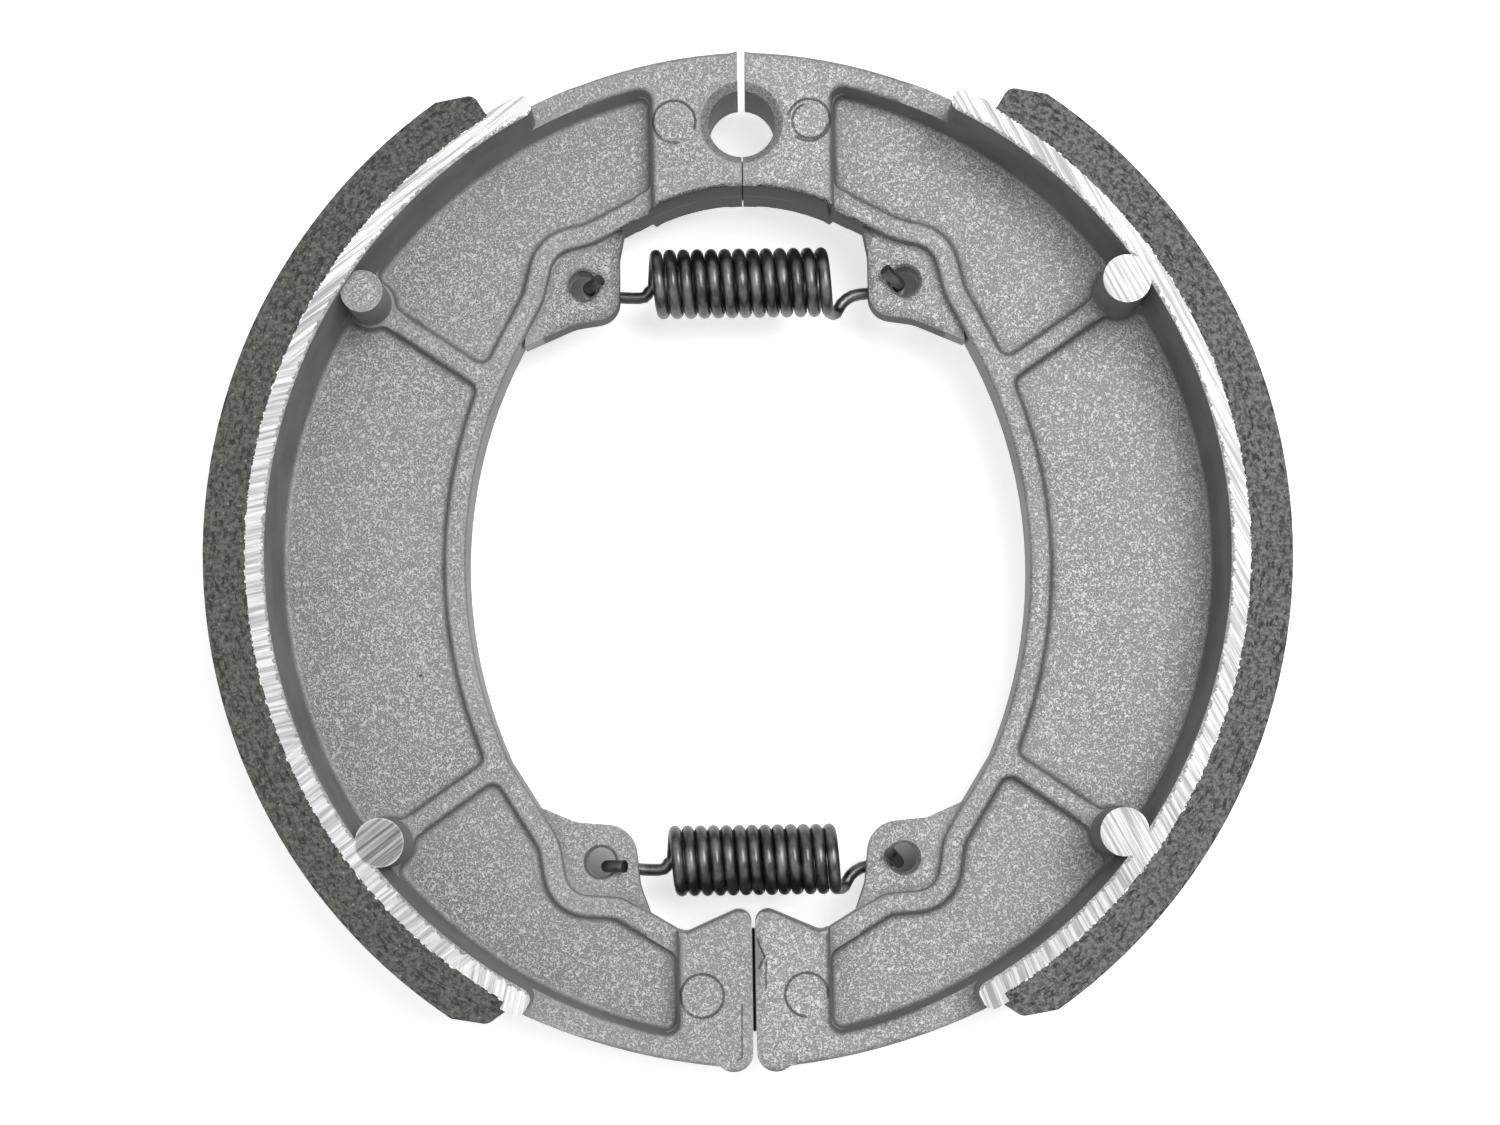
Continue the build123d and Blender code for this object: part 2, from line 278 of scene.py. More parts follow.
def strokeMask(tree, place, start, end, width, ragged=0.0):
    ends = {"From": spot(start), "To": spot(end)}
    return useGroup(tree, strokeMark, Vector=place, Width=width * mm, Ragged=ragged * mm, **ends)["Mark"]


rimFront = 25.0 * mm
rimInner = 48.95 * mm
rimOuter = 50.8 * mm
arcOffset = 1.43 * mm
middlePlane = 12.5 * mm

# the casting: blasted faces, smooth walls and bands along edges and creases painted darker, partly their cast
# skin and partly painted shade, the arch wall darkest as painted shade, ground rim edges; places and reaches
# of the arch and the bore in millimetres
castLook = {
    "grainSize": 1.9, "grainDepth": 0.00007, "grainStrength": 0.75,
    "face": (0.3, 0.3, 0.298, 1.0),
    "ridge": (0.5, 0.5, 0.497, 1.0),
    "pit": (0.1, 0.1, 0.099, 1.0),
    "patchScale": 160.0, "patchShare": 0.16,
    "wallSkinAndShade": 0.105, "wallSkinAndShadePale": 0.15,
    "mark": (0.045, 0.045, 0.045, 1.0),
    "markShare": 0.85, "scratchDepth": 0.5,
    "ground": (0.66, 0.66, 0.66, 1.0),
    "groundDark": (0.3, 0.3, 0.3, 1.0),
    "dullDark": 0.2, "dullLight": 0.75,
    "faceRough": 0.62, "faceMetal": 0.55, "groundMetal": 0.8,
    "edge": 1.5 * mm, "bare": 0.9, "blasted": 0.975, "ragged": 0.12,
    "archCentre": (0.0, 16.18), "archReach": 21.7, "archPaintedShade": 0.22,
    "boreCentre": (0.0, 43.88), "boreReach": 4.35, "chamferShare": 0.45,
    "partingFrom": 0.04 * mm, "partingTo": 0.16 * mm, "partingShare": 0.4,
    "groundFrom": 0.06 * mm, "groundTo": 0.03 * mm,
    "tearDepth": 0.45 * mm, "tearEdge": 0.04 * mm, "wholeInside": 0.05 * mm,
    "grindSpacing": 0.36 * mm, "grindDepth": 0.25,
    "postsFrom": 17 * mm, "postsTo": 21 * mm, "endFrom": -42 * mm, "endTo": -39 * mm,
}
# grinding direction in degrees over the middle, past the posts and at the cam end; places in millimetres;
# a dull spot is its centre, radius and tone; a post is its centre and radius;
# a ring is its centre, radius, line width, the direction and width of its gap in degrees and the height
# that it lies above;
# a mark runs between two points with its width, raggedness, tone and the height that it lies above
# the wall, face and ground tones of each shoe are painted light and shade: the left shoe's walls lighter, the
# right shoe's faces lighter and its ground band darker against the key lamp's glare
shoeLook = {
    "left_shoe": {
        "side": -1,
        "grindMiddle": 12.0, "grindPosts": 37.0, "grindEnd": 78.0, "groundToneAndShade": 0.8, "groundRough": 0.34,
        "wallPaintedLight": 1.65, "facePaintedLight": 1.0,
        "dull": [((-36.36, -28.37), 2.5, 0.38)],
        "posts": [((-36.36, -28.37), 2.5)],
        "rings": [
            ((-6.85, 44.05), 2.15, 0.19, -48, 26, 17.5), ((-5.2, -44.0), 2.15, 0.19, 0, 0, 17.5),
            ((-16.45, 28.03), 1.6, 0.22, 0, 0, 14.2), ((-15.25, -30.65), 1.6, 0.22, 0, 0, 14.2),
        ],
        "marks": [
            ((-1.25, -44.9), (-1.33, -50.1), 0.13, 0.1, 0.09, 17.5),
            ((-1.33, -50.1), (-1.75, -50.35), 0.13, 0.1, 0.09, 17.5),
            ((-2.03, -37.0), (-1.7, -36.9), 0.5, 0.5, 0.24, 17.5),
            ((-33.35, -11.6), (-33.25, -11.6), 0.2, 0.1, 0.03, 13.0),
        ],
    },
    "right_shoe": {
        "side": 1,
        "grindMiddle": -63.0, "grindPosts": -62.0, "grindEnd": -70.0, "groundToneAndShade": 0.5, "groundRough": 0.45,
        "wallPaintedLight": 1.22, "facePaintedLight": 1.12,
        "dull": [],
        "posts": [((37.93, 26.15), 2.5), ((36.36, -28.37), 2.5)],
        "rings": [
            ((6.85, 44.05), 2.15, 0.19, 200, 30, 17.5), ((6.95, 43.95), 1.8, 0.17, 50, 60, 17.5),
            ((5.2, -44.0), 2.15, 0.19, -50, 42, 17.5),
            ((16.45, 28.03), 1.6, 0.22, 0, 0, 14.2), ((15.25, -30.65), 1.6, 0.22, 0, 0, 14.2),
        ],
        "marks": [
            ((0.45, -38.6), (0.5, -41.9), 0.5, 0.5, 0.17, 17.5),
            ((0.35, -38.5), (1.05, -40.2), 0.15, 0.25, 0.04, 17.5),
            ((1.05, -40.2), (0.5, -41.3), 0.15, 0.25, 0.04, 17.5),
            ((1.2, -40.7), (1.15, -43.4), 0.13, 0.2, 0.07, 17.5),
            ((2.4, -41.9), (3.0, -41.9), 0.45, 0.4, 0.3, 17.5),
        ],
    },
}


# faces turned to the front or back are blasted; the walls and the bands along edges and creases between them
# keep their smooth cast skin and are painted darker as shade, the arch wall darkest
def castSkinAndShade(tree, look, place, up, patches):
    # painted shade: the bevel normal widens the dark wall tone into bands along edges and creases
    rounded = node(tree, "Bevel", {"Radius": castLook["edge"]}, samples=2).outputs["Normal"]
    softUp = calc(tree, "ABSOLUTE", axesOf(tree, rounded)["Z"])
    grain = useGroup(tree, blastGrain, Vector=place, Size=castLook["grainSize"])["Height"]
    ragged = calc(tree, "MULTIPLY", calc(tree, "SUBTRACT", grain, 0.5), castLook["ragged"])
    facing = ramp(tree, calc(tree, "ADD", softUp, ragged), castLook["bare"], castLook["blasted"])
    bore = discMask(tree, place, castLook["boreCentre"], castLook["boreReach"], 0.3)
    chamfer = calc(tree, "MULTIPLY", bore, ramp(tree, up, 0.5, 0.65, 0.0, castLook["chamferShare"]))
    facing = calc(tree, "MAXIMUM", facing, chamfer)
    face = mixColour(tree, grain, castLook["pit"], castLook["ridge"])
    face = mixColour(tree, ramp(tree, patches, 0.3, 0.7, 0.0, castLook["patchShare"]), face, castLook["face"])
    # painted light: each shoe's faces and walls take their own tone
    face = mixColour(tree, 1.0, face, grey(look["facePaintedLight"]), blend="MULTIPLY")
    # the wall tones are partly the smooth cast skin and partly painted shade on walls that face sideways
    tones = [grey(castLook[key] * look["wallPaintedLight"]) for key in ("wallSkinAndShade", "wallSkinAndShadePale")]
    skinAndShade = mixColour(tree, ramp(tree, patches, 0.3, 0.7), *tones)
    # painted shade over the arch wall
    archShade = discMask(tree, place, castLook["archCentre"], castLook["archReach"], 0.3)
    skinAndShade = mixColour(tree, archShade, skinAndShade, grey(castLook["archPaintedShade"] * castLook["wallSkinAndShadePale"]))
    # the faint parting line of the die along the walls
    offPlane = calc(tree, "ABSOLUTE", calc(tree, "SUBTRACT", axesOf(tree, place)["Z"], middlePlane))
    near = ramp(tree, offPlane, castLook["partingFrom"], castLook["partingTo"], 1.0, 0.0)
    parting = calc(tree, "MULTIPLY", near, ramp(tree, patches, 0.42, 0.58))
    skinAndShade = mixColour(tree, calc(tree, "MULTIPLY", parting, castLook["partingShare"]), skinAndShade, castLook["face"])
    return mixColour(tree, facing, skinAndShade, face), calc(tree, "MULTIPLY", grain, facing)


# the rings of the ejector pins and the edges of the hook holes, then scratches and chips
def castMarks(tree, look, place, patches, colour, height):
    level = axesOf(tree, place)["Z"]
    for centre, radius, width, gap, opening, above in look["rings"]:
        ring = useGroup(
            tree, pinRing, Vector=place, Centre=spot(centre), Radius=radius * mm, Width=width * mm,
            Gap=(cos(radians(gap)), sin(radians(gap)), 0.0), Open=cos(radians(opening)) if opening else 2.0,
        )["Ring"]
        onFront = calc(tree, "MULTIPLY", ring, calc(tree, "GREATER_THAN", level, above * mm))
        mark = calc(tree, "MULTIPLY", onFront, ramp(tree, patches, 0.3, 0.45, 0.5, 1.0))
        share = calc(tree, "MULTIPLY", mark, castLook["markShare"])
        colour = mixColour(tree, share, colour, castLook["mark"])
        height = calc(tree, "SUBTRACT", height, mark)
    for start, end, width, ragged, tone, above in look["marks"]:
        stroke = strokeMask(tree, place, start, end, width, ragged)
        mark = calc(tree, "MULTIPLY", stroke, calc(tree, "GREATER_THAN", level, above * mm))
        share = calc(tree, "MULTIPLY", mark, castLook["markShare"])
        colour = mixColour(tree, share, colour, grey(tone))
        height = calc(tree, "SUBTRACT", height, calc(tree, "MULTIPLY", mark, castLook["scratchDepth"]))
    return colour, height


# ground edges of the rim and tops of the posts, front and back; grinding has torn the band's inner border
def groundMask(tree, look, place, up):
    fromMiddle = calc(tree, "ABSOLUTE", calc(tree, "SUBTRACT", axesOf(tree, place)["Z"], middlePlane))
    reach = rimFront / 2
    top = ramp(tree, fromMiddle, reach - castLook["groundFrom"], reach - castLook["groundTo"])
    border = useGroup(tree, tornBorder, Vector=place, Centre=(-look["side"] * arcOffset, 0.0, 0.0))
    near = calc(tree, "SUBTRACT", border["Radius"], rimInner)
    teeth = calc(tree, "MULTIPLY", border["Teeth"], castLook["tearDepth"])
    torn = ramp(tree, calc(tree, "SUBTRACT", near, teeth), -castLook["tearEdge"], castLook["tearEdge"])
    kept = calc(tree, "MAXIMUM", torn, calc(tree, "LESS_THAN", near, -castLook["wholeInside"]))
    for centre, radius in look["posts"]:
        kept = calc(tree, "MAXIMUM", kept, discMask(tree, place, centre, radius, 0.2))
    return calc(tree, "MULTIPLY", calc(tree, "MULTIPLY", top, ramp(tree, up, 0.6, 0.9)), kept)


def groundFinish(tree, look, place):
    spacing = castLook["grindSpacing"]
    sets = [
        useGroup(tree, grindLines, Vector=place, Angle=radians(-look[key]), Spacing=spacing)["Lines"]
        for key in ("grindMiddle", "grindPosts", "grindEnd")
    ]
    along = axesOf(tree, place)["Y"]
    pastPosts = ramp(tree, calc(tree, "ABSOLUTE", along), castLook["postsFrom"], castLook["postsTo"])
    lines = mixValue(tree, pastPosts, sets[0], sets[1])
    atEnd = ramp(tree, along, castLook["endFrom"], castLook["endTo"], 1.0, 0.0)
    lines = mixValue(tree, atEnd, lines, sets[2])
    bright = mixColour(tree, lines, castLook["groundDark"], castLook["ground"])
    # painted shade: each shoe's ground band takes its own tone
    bright = mixColour(tree, 1.0, bright, grey(look["groundToneAndShade"]), blend="MULTIPLY")
    for centre, radius, tone in look["dull"]:
        tones = [grey(castLook[key] * tone) for key in ("dullDark", "dullLight")]
        scored = mixColour(tree, lines, *tones)
        bright = mixColour(tree, discMask(tree, place, centre, radius, 0.3), bright, scored)
    return bright, calc(tree, "MULTIPLY", lines, castLook["grindDepth"])


def castMaterial(name, look):
    material, tree, shader, place = newMaterial(name + "Cast")
    normal = node(tree, "NewGeometry").outputs["Normal"]
    up = calc(tree, "ABSOLUTE", axesOf(tree, normal)["Z"])
    patches = noise(tree, place, castLook["patchScale"], 3.0)
    colour, height = castSkinAndShade(tree, look, place, up, patches)
    colour, height = castMarks(tree, look, place, patches, colour, height)
    ground = groundMask(tree, look, place, up)
    bright, scratches = groundFinish(tree, look, place)
    feed(tree, shader, {
        "Base Color": mixColour(tree, ground, colour, bright),
        "Roughness": mixValue(tree, ground, castLook["faceRough"], look["groundRough"]),
        "Metallic": mixValue(tree, ground, castLook["faceMetal"], castLook["groundMetal"]),
    })
    relief = mixValue(tree, ground, height, scratches)
    addBump(tree, shader, relief, castLook["grainStrength"], castLook["grainDepth"])
    return material


liningLook = {
    "left_lining": {"side": -1, "base": (0.135, 0.13, 0.118, 1.0), "dark": (0.05, 0.048, 0.045, 1.0)},
    "right_lining": {"side": 1, "base": (0.195, 0.19, 0.183, 1.0), "dark": (0.07, 0.068, 0.065, 1.0)},
    "speck": (0.33, 0.31, 0.28, 1.0),
    "tear": (0.012, 0.012, 0.012, 1.0),
    "crumbScale": 2100.0, "crumbRough": 0.7, "cellScale": 1100.0, "fibreScale": 420.0, "fibreBend": 2.0,
    "speckSize": 0.18, "speckShare": 0.9, "fibreShare": 0.45,
    "tearAlong": 52.0, "tearAcross": 2600.0, "tearDown": 1600.0, "tearShare": 0.75, "tearDepth": 0.8,
    "smearReach": 0.3 * mm, "smearFrom": 0.06 * mm, "smearTo": 0.11 * mm,
    "topFrom": 0.4 * mm, "topTo": 0.25 * mm,
    "rough": 0.86, "smearRough": 0.4, "smearMetal": 0.8,
    "cellDepth": 0.5, "bumpStrength": 0.8, "bumpDepth": 0.00025,
}


def liningMaterial(name, look):
    material, tree, shader, place = newMaterial(name + "Friction")
    crumbs = noise(tree, place, liningLook["crumbScale"], 4.0, liningLook["crumbRough"])
    cells = node(tree, "TexVoronoi", {"Vector": place, "Scale": liningLook["cellScale"]}).outputs["Distance"]
    fibres = noise(tree, place, liningLook["fibreScale"], 3.0, distortion=liningLook["fibreBend"])
    colour = mixColour(tree, ramp(tree, crumbs, 0.4, 0.6), look["dark"], look["base"])
    specks = ramp(tree, cells, 0.0, liningLook["speckSize"], liningLook["speckShare"], 0.0)
    colour = mixColour(tree, specks, colour, liningLook["speck"])
    strands = ramp(tree, fibres, 0.6, 0.75, 0.0, liningLook["fibreShare"])
    colour = mixColour(tree, strands, colour, look["dark"])
    # short dark tears along the arc, and aluminium smeared over the inner border by the grinding
    border = useGroup(tree, tornBorder, Vector=place, Centre=(-look["side"] * arcOffset, 0.0, 0.0))
    axes = axesOf(tree, place)
    angle = calc(tree, "ARCTAN2", axes["Y"], calc(tree, "ABSOLUTE", axes["X"]))
    rolled = node(tree, "CombineXYZ", {
        "X": calc(tree, "MULTIPLY", angle, liningLook["tearAlong"]),
        "Y": calc(tree, "MULTIPLY", border["Radius"], liningLook["tearAcross"]),
        "Z": calc(tree, "MULTIPLY", axes["Z"], liningLook["tearDown"]),
    }).outputs[0]
    tear = ramp(tree, noise(tree, rolled, 1.0, 2.0, 0.6), 0.56, 0.68)
    torn = calc(tree, "MULTIPLY", tear, liningLook["tearShare"])
    colour = mixColour(tree, torn, colour, liningLook["tear"])
    inward = calc(tree, "SUBTRACT", border["Radius"], rimOuter)
    teeth = calc(tree, "MULTIPLY", border["Teeth"], liningLook["smearReach"])
    smear = ramp(tree, calc(tree, "SUBTRACT", teeth, inward), liningLook["smearFrom"], liningLook["smearTo"])
    reach = rimFront / 2
    ends = calc(tree, "ABSOLUTE", calc(tree, "SUBTRACT", axes["Z"], reach))
    atEnds = ramp(tree, ends, reach - liningLook["topFrom"], reach - liningLook["topTo"])
    smear = calc(tree, "MULTIPLY", smear, atEnds)
    feed(tree, shader, {
        "Base Color": mixColour(tree, smear, colour, castLook["ground"]),
        "Roughness": mixValue(tree, smear, liningLook["rough"], liningLook["smearRough"]),
        "Metallic": calc(tree, "MULTIPLY", smear, liningLook["smearMetal"]),
    })
    height = calc(tree, "ADD", crumbs, calc(tree, "MULTIPLY", cells, liningLook["cellDepth"]))
    height = calc(tree, "SUBTRACT", height, calc(tree, "MULTIPLY", tear, liningLook["tearDepth"]))
    addBump(tree, shader, height, liningLook["bumpStrength"], liningLook["bumpDepth"])
    return material


steelLook = {
    "dark": (0.06, 0.06, 0.062, 1.0), "light": (0.16, 0.16, 0.165, 1.0), "stainScale": 500.0,
    "drawScale": 3500.0, "drawStrength": 0.25, "drawDepth": 0.00003, "metallic": 0.9,
    "oiledRough": 0.28, "dryRough": 0.45,
}


def springMaterial():
    material, tree, shader, place = newMaterial("oiledSpringSteel")
    stains = noise(tree, place, steelLook["stainScale"], 4.0)
    feed(tree, shader, {
        "Base Color": mixColour(tree, ramp(tree, stains, 0.35, 0.7), steelLook["dark"], steelLook["light"]),
        "Roughness": ramp(tree, stains, 0.3, 0.7, steelLook["oiledRough"], steelLook["dryRough"]),
        "Metallic": steelLook["metallic"],
    })
    draw = noise(tree, place, steelLook["drawScale"], 2.0)
    addBump(tree, shader, draw, steelLook["drawStrength"], steelLook["drawDepth"])
    return material


# rounded edges of the pockets' floors, the ribs and the end blocks; lengths in millimetres, x from the middle
edgeLook = {
    "floors": {"levels": (10.6, 14.4), "width": 0.5, "least": 100.0, "from": 0.0, "to": 60.0, "clear": 0.0},
    "ribs": {"levels": (9.2, 15.8), "width": 0.35, "least": 60.0, "from": 11.0, "to": 60.0, "clear": 0.6},
    "blocks": {"levels": (6.9, 18.1), "width": 0.4, "least": 60.0, "from": 0.9, "to": 17.0, "clear": 0.6},
}
keptSharp = {
    "floors": (),
    "ribs": (((37.9, 26.2), 3.8), ((36.4, -28.4), 3.8)),
    "blocks": (((0.0, 43.88), 4.9),),
}
# angles in degrees, lengths in millimetres
meshRules = {
    "segments": 4, "step": 0.6, "upright": 0.99, "slack": 0.02, "cornerAngle": 40,
    "weld": 0.002, "flatAngle": 0.4, "creaseAngle": 28,
}


# edges of the level faces of one set, where they meet a wall
def levelEdges(work, look, sharp):
    chosen = {}
    for face in work.faces:
        height = face.calc_center_median().z / mm
        offLevel = min(abs(height - z) for z in look["levels"])
        level = abs(face.normal.z) > meshRules["upright"] and offLevel < meshRules["slack"]
        if not level or face.calc_area() < look["least"] * mm * mm:
            continue
        for edge in face.edges:
            middle = (edge.verts[0].co + edge.verts[1].co) / 2 / mm
            place = Vector((abs(middle.x), middle.y))
            near = any((place - Vector(at)).length < reach for at, reach in sharp)
            corner = edge.calc_face_angle(0.0) > radians(meshRules["cornerAngle"])
            if look["from"] < place.x < look["to"] and not near and corner:
                chosen[edge] = True
    return list(chosen)


def splitLong(edge, step):
    start = edge.verts[0]
    for left in range(int(edge.calc_length() / step), 1, -1):
        corner = bmesh.utils.edge_split(edge, start, 1.0 / left)[1]
        edge = next(other for other in corner.link_edges if start not in other.verts)
        start = corner


# where three or more creases meet, an edge stays as it is
def clearEdges(work, edges, clear):
    crease = radians(meshRules["creaseAngle"])
    crowded = [
        corner.co.copy() for corner in work.verts
        if sum(edge.calc_face_angle(0.0) > crease for edge in corner.link_edges) > 2
    ]
    tree = KDTree(len(crowded))
    for index, place in enumerate(crowded):
        tree.insert(place, index)
    tree.balance()
    return [edge for edge in edges if min(tree.find(corner.co)[2] for corner in edge.verts) > clear]


def roundEdges(work):
    for key, look in edgeLook.items():
        edges = levelEdges(work, look, keptSharp[key])
        if look["clear"]:
            for edge in edges:
                splitLong(edge, meshRules["step"] * mm)
            edges = clearEdges(work, levelEdges(work, look, keptSharp[key]), look["clear"] * mm)
        bmesh.ops.bevel(
            work, geom=edges, offset=look["width"] * mm, offset_type="OFFSET",
            segments=meshRules["segments"], profile=0.5, affect="EDGES", clamp_overlap=False,
        )


# a merged copy of a CAD node, smooth but for its sharp edges
def copyNode(name, label, rounded=False):
    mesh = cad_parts[name].data.copy()
    mesh.materials.clear()
    work = bmesh.new()
    work.from_mesh(mesh)
    bmesh.ops.remove_doubles(work, verts=work.verts, dist=meshRules["weld"] * mm)
    flat = radians(meshRules["flatAngle"])
    bmesh.ops.dissolve_limit(work, angle_limit=flat, verts=work.verts, edges=work.edges)
    if rounded:
        roundEdges(work)
    for face in work.faces:
        face.smooth = True
    for edge in work.edges:
        edge.smooth = edge.calc_face_angle(0.0) < radians(meshRules["creaseAngle"])
    work.to_mesh(mesh)
    work.free()
    mesh.name = label
    piece = bpy.data.objects.new(label, mesh)
    bpy.context.scene.collection.objects.link(piece)
    even = piece.modifiers.new("evenShading", "WEIGHTED_NORMAL")
    even.keep_sharp = True
    return piece


for name, body in (("left_shoe", "left_side"), ("right_shoe", "right_side")):
    casting = copyNode(name, name + "_casting", rounded=True)
    casting.data.materials.append(castMaterial(name, shoeLook[name]))
    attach(casting, body)
    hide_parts(name)
print("castings made")

for name, body in (("left_lining", "left_side"), ("right_lining", "right_side")):
    facing = copyNode(name, name + "_facing")
    facing.data.materials.append(liningMaterial(name, liningLook[name]))
    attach(facing, body)
    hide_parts(name)
print("linings made")

# the wire of both springs, lengths in millimetres; bends are given from an end of the coil's axis, and start
# at the back of the coil on the left and at its cam side on the right; a tip is where a hook ends
springWire = {
    "radius": 0.625, "coilRadius": 2.99, "turns": 12.75, "steps": 24, "hookSetIn": 0.6, "hookDrop": 0.4,
    "lugFront": 14.4, "middle": 12.5, "overLug": 0.5, "tipRise": 1.15, "weld": 0.0005, "creaseAngle": 50,
    "leftBends": (
        (-0.45, -0.15, -2.99), (-0.75, -0.9, -2.99), (-2.2, -0.9, -2.99), (-3.6, -0.8, -2.99),
    ),
    "rightBends": (
        (0.3, -3.0, -1.5), (0.9, -3.0, -2.8), (1.4, -1.75, -2.99), (2.6, -0.9, -2.99), (4.0, -0.75, -2.99),
    ),
}
springs = {
    "upper_spring": {
        "hole": (16.45, 28.03), "pitch": 1.41, "shift": -0.4, "rise": 0.3,
        "tips": ((-14.6, 28.3), (14.35, 28.95)),
    },
    "lower_spring": {
        "hole": (15.25, -30.65), "pitch": 1.3, "shift": 0.15, "rise": 0.0,
        "tips": ((-12.8, -31.1), (13.7, -30.05)),
    },
}


# from the coil's end to the tip: bends, a level run behind the lug, up through its hole and over its front
def hookPoints(end, bends, hole, side, tip):
    wire = springWire
    column = Vector((side * (hole[0] - wire["hookSetIn"]), hole[1] - wire["hookDrop"], 0.0))
    low = wire["middle"] - wire["coilRadius"]
    top = wire["lugFront"] + wire["overLug"]
    above = Vector((column.x, column.y, top))
    lean = Vector((*tip, top + wire["tipRise"])) - above
    points = [end + Vector(bend) for bend in bends]
    points += [Vector((column.x - side * 0.5, column.y, low))]
    points += [Vector((column.x, column.y, z)) for z in (low + 0.35, low + 2.0, top - 1.0)]
    return points + [above, above + lean / 3, above + lean]


# a round wire along the points; its two end faces have more than four corners and get the second material
def sweepWire(name, path, materials):
    wire = springWire
    curve = bpy.data.curves.new(name + "Line", "CURVE")
    curve.dimensions = "3D"
    curve.bevel_depth = wire["radius"] * mm
    curve.bevel_resolution = 5
    curve.resolution_u = 2
    curve.use_fill_caps = True
    spline = curve.splines.new("NURBS")
    spline.points.add(len(path) - 1)
    for point, place in zip(spline.points, path):
        point.co = (*(place * mm), 1.0)
    spline.order_u = 3
    spline.use_endpoint_u = True
    line = bpy.data.objects.new(name + "Line", curve)
    bpy.context.scene.collection.objects.link(line)
    depsgraph = bpy.context.evaluated_depsgraph_get()
    mesh = bpy.data.meshes.new_from_object(line.evaluated_get(depsgraph))
    bpy.data.objects.remove(line)
    work = bmesh.new()
    work.from_mesh(mesh)
    bmesh.ops.remove_doubles(work, verts=work.verts, dist=wire["weld"] * mm)
    bmesh.ops.recalc_face_normals(work, faces=work.faces)
    for face in work.faces:
        face.smooth = True
        face.material_index = int(len(face.verts) > 4)
    for edge in work.edges:
        edge.smooth = edge.calc_face_angle(0.0) < radians(wire["creaseAngle"])
    mesh.materials.clear()
    for material in materials:
        mesh.materials.append(material)
    work.to_mesh(mesh)
    work.free()
    return mesh


cutLook = {
    "dark": 0.3, "light": 0.7, "shearScale": 3800.0, "metallic": 0.3,
    "torn": 0.55, "smooth": 0.35, "strength": 0.4, "depth": 0.00005,
}


# the bright end that the cutter leaves on a wire
def cutMaterial():
    material, tree, shader, place = newMaterial("cutWireEnd")
    shear = noise(tree, place, cutLook["shearScale"], 3.0)
    tones = [grey(cutLook[key]) for key in ("dark", "light")]
    feed(tree, shader, {
        "Base Color": mixColour(tree, ramp(tree, shear, 0.35, 0.65), *tones),
        "Roughness": ramp(tree, shear, 0.3, 0.7, cutLook["torn"], cutLook["smooth"]),
        "Metallic": cutLook["metallic"],
    })
    addBump(tree, shader, shear, cutLook["strength"], cutLook["depth"])
    return material


def windSpring(name, look, materials):
    wire = springWire
    length = wire["turns"] * look["pitch"]
    start = look["shift"] - length / 2
    axisY = look["hole"][1] + look["rise"]
    count = round(wire["turns"] * wire["steps"])
    coil = []
    for i in range(count + 1):
        turn = 2 * pi * i / wire["steps"]
        coil.append(Vector((
            start + length * i / count,
            axisY + wire["coilRadius"] * sin(turn),
            wire["middle"] - wire["coilRadius"] * cos(turn),
        )))
    ends = [Vector((x, axisY, wire["middle"])) for x in (start, start + length)]
    left = hookPoints(ends[0], wire["leftBends"], look["hole"], -1, look["tips"][0])
    right = hookPoints(ends[1], wire["rightBends"], look["hole"], 1, look["tips"][1])
    mesh = sweepWire(name, left[::-1] + coil + right, materials)
    piece = bpy.data.objects.new(name + "_wire", mesh)
    bpy.context.scene.collection.objects.link(piece)
    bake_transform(piece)
    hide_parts(name)


wireMaterials = (springMaterial(), cutMaterial())
for name, look in springs.items():
    windSpring(name, look, wireMaterials)
print("springs wound")

# plain white floor that keeps the soft shadow, with painted shade behind the hook holes and the seams; places
# of the painted shade in millimetres
floorLook = {
    "half": 1.5, "level": -0.05 * mm, "tone": 0.86, "glow": 0.62, "rough": 0.9,
    "holes": ((17.1, 30.1), (-17.1, 30.1), (15.85, -30.75), (-15.85, -30.75)),
    "holeReach": 2.0, "holeSoft": 0.5, "holeShade": 0.5,
    "seams": (((0.0, 39.6), (0.0, 43.4)), ((0.0, -38.0), (0.0, -48.4))),
    "seamReach": 0.3, "seamShade": 0.03,
}


def seenDirectly(tree):
    rays = node(tree, "LightPath").outputs
    mirrored = calc(tree, "MAXIMUM", rays["Is Glossy Ray"], rays["Is Transmission Ray"])
    return calc(tree, "MAXIMUM", rays["Is Camera Ray"], mirrored)


def makeFloor():
    work = bmesh.new()
    bmesh.ops.create_grid(work, x_segments=1, y_segments=1, size=floorLook["half"])
    bmesh.ops.translate(work, verts=work.verts, vec=(0.0, 0.0, floorLook["level"]))
    mesh = bpy.data.meshes.new("floor")
    work.to_mesh(mesh)
    work.free()
    material, tree, shader, place = newMaterial("whiteFloor")
    # painted shade: the floor is darkened and loses its glow behind the hook holes and the seams between the
    # shoes, where little light reaches
    paintedShades = [
        (discMask(tree, place, hole, floorLook["holeReach"], floorLook["holeSoft"]), floorLook["holeShade"])
        for hole in floorLook["holes"]
    ]
    paintedShades += [
        (strokeMask(tree, place, start, end, floorLook["seamReach"]), floorLook["seamShade"])
        for start, end in floorLook["seams"]
    ]
    white = grey(floorLook["tone"])
    glow = grey(1.0)
    for dark, shade in paintedShades:
        white = mixColour(tree, dark, white, grey(shade))
        glow = mixColour(tree, dark, glow, grey(0.0))
    feed(tree, shader, {
        "Base Color": white, "Roughness": floorLook["rough"], "Specular IOR Level": 0.0,
        "Emission Color": glow,
        "Emission Strength": calc(tree, "MULTIPLY", seenDirectly(tree), floorLook["glow"]),
    })
    mesh.materials.append(material)
    floor = bpy.data.objects.new("floor", mesh)
    bpy.context.scene.collection.objects.link(floor)


makeFloor()

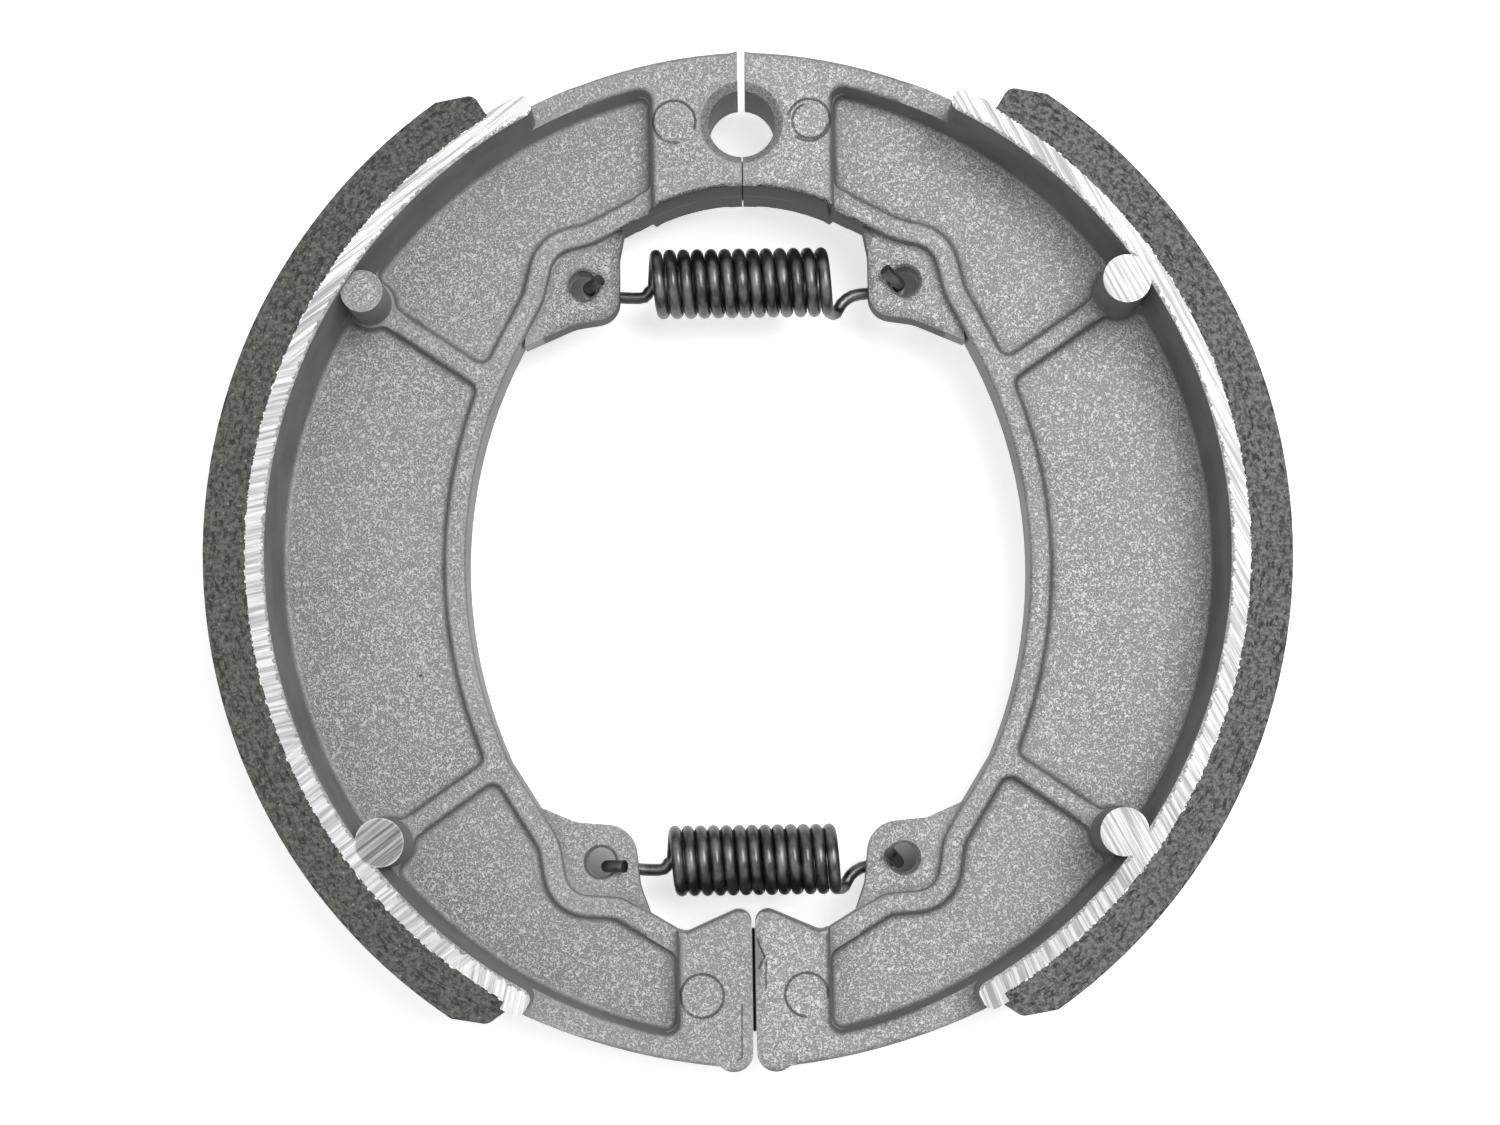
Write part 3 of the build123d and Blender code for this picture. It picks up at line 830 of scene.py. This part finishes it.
# soft studio light: a large lamp over the camera's right shoulder, a fill, and an even sky
lamps = {
    "keyLamp": {"at": (0.2, 0.14, 0.72), "size": 0.4, "power": 4.8},
    "fillLamp": {"at": (-0.4, -0.1, 0.6), "size": 0.6, "power": 1.2},
}
skyStrength = 0.22


def addLamps():
    for name, look in lamps.items():
        lamp = bpy.data.lights.new(name, "AREA")
        lamp.shape = "DISK"
        lamp.size = look["size"]
        lamp.energy = look["power"]
        holder = bpy.data.objects.new(name, lamp)
        holder.location = look["at"]
        holder.rotation_euler = (-Vector(look["at"])).to_track_quat("-Z", "Y").to_euler()
        bpy.context.scene.collection.objects.link(holder)


def addSky():
    world = bpy.data.worlds.new("studio")
    bpy.context.scene.world = world
    world.use_nodes = True
    tree = world.node_tree
    tree.nodes.clear()
    strength = ramp(tree, seenDirectly(tree), 0.0, 1.0, skyStrength, 1.0)
    sky = node(tree, "Background", {"Color": grey(1.0), "Strength": strength})
    out = node(tree, "OutputWorld")
    tree.links.new(sky.outputs[0], out.inputs["Surface"])


addLamps()
addSky()

# the photo's view: from above the drum axis, tilted a little towards the cam end; places in millimetres
cameraLook = {
    "at": (-0.213, -28.36, 344.87), "aim": (0.185, -1.5, 25.0), "up": (0.0148, 0.9999, 0.0),
    "lens": 78.5, "sensor": 36.0, "near": 0.01,
}


def addCamera():
    data = bpy.data.cameras.new("photoCamera")
    data.lens = cameraLook["lens"]
    data.sensor_width = cameraLook["sensor"]
    data.clip_start = cameraLook["near"]
    camera = bpy.data.objects.new("photoCamera", data)
    bpy.context.scene.collection.objects.link(camera)
    place = Vector(cameraLook["at"]) * mm
    ahead = (Vector(cameraLook["aim"]) * mm - place).normalized()
    right = ahead.cross(Vector(cameraLook["up"])).normalized()
    upward = right.cross(ahead)
    turn = Matrix((right, upward, -ahead)).transposed().to_4x4()
    camera.matrix_world = Matrix.Translation(place) @ turn
    bpy.context.scene.camera = camera


addCamera()
bpy.context.scene.view_settings.view_transform = "Standard"
print("light, floor and camera set")
